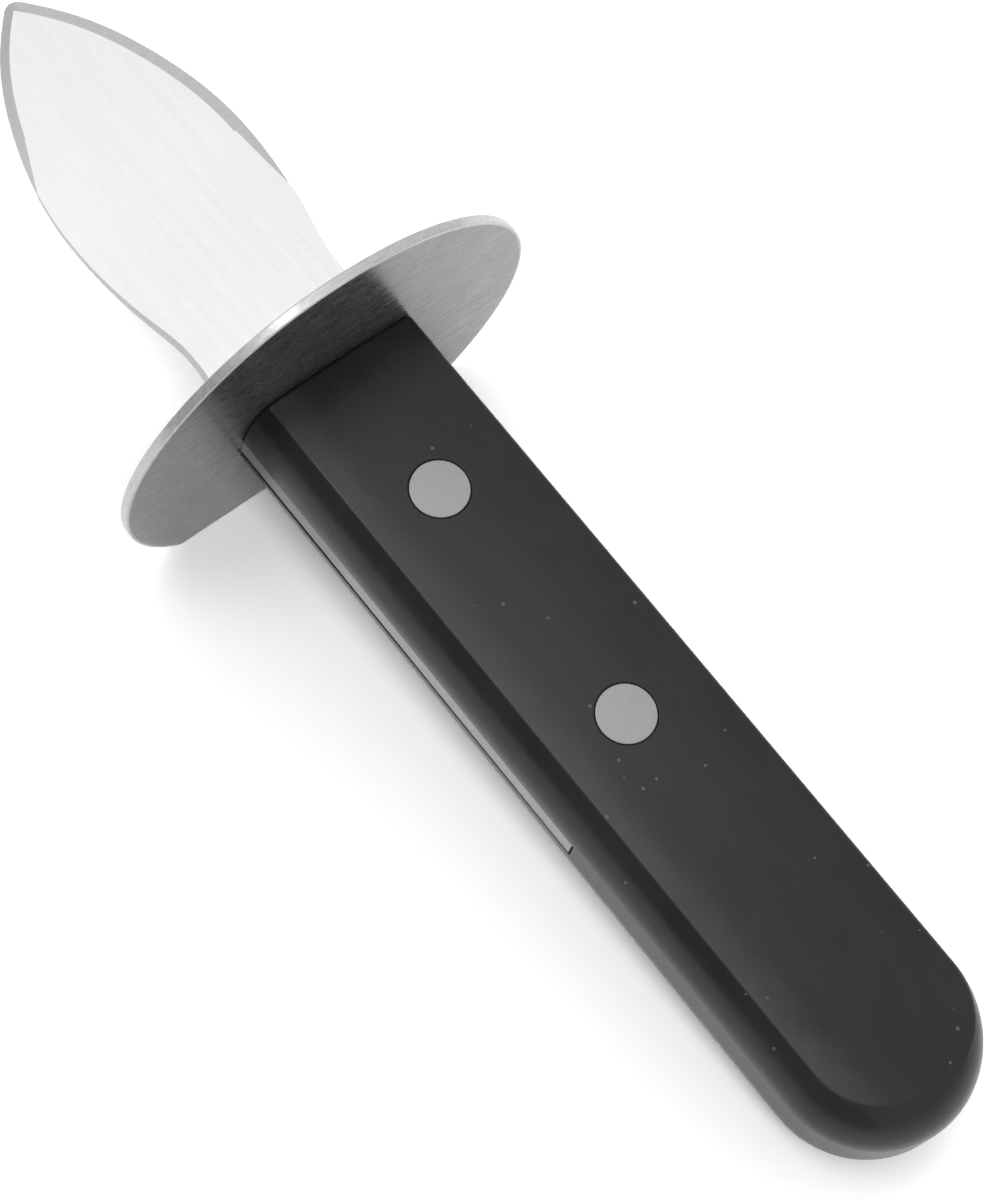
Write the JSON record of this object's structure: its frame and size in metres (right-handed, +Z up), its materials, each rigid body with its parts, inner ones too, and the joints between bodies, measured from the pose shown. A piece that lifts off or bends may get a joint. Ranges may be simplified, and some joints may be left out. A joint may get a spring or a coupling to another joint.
{
  "type": "oyster knife",
  "caption": "Oyster knife lying tip up: a broad pointed steel blade, a round steel hand guard cut flat below, and a black moulded handle riveted to a slotted-in tang.",
  "frame": {"origin": "on the table, under the middle of the knife as it lies on the guard's flat and the butt", "axes": "+X along the knife towards the tip, +Y across it, +Z up from the table"},
  "size_m": [0.1746, 0.0583, 0.049],
  "materials": {
    "blade_steel": "stainless steel, finely brushed along the blade, with ground bevels",
    "guard_steel": "stainless sheet, satin, with a worn edge",
    "handle_plastic": "black moulded plastic, satin, faintly speckled and scratched",
    "rivet_steel": "satin steel, ground flush with the handle"
  },
  "bodies": {
    "root": {"blade": "blade_steel", "guard": "guard_steel", "handle": "handle_plastic", "front_rivet_socket": "rivet_steel", "front_rivet_pin": "rivet_steel", "rear_rivet_socket": "rivet_steel", "rear_rivet_pin": "rivet_steel"}
  },
  "joints": []
}
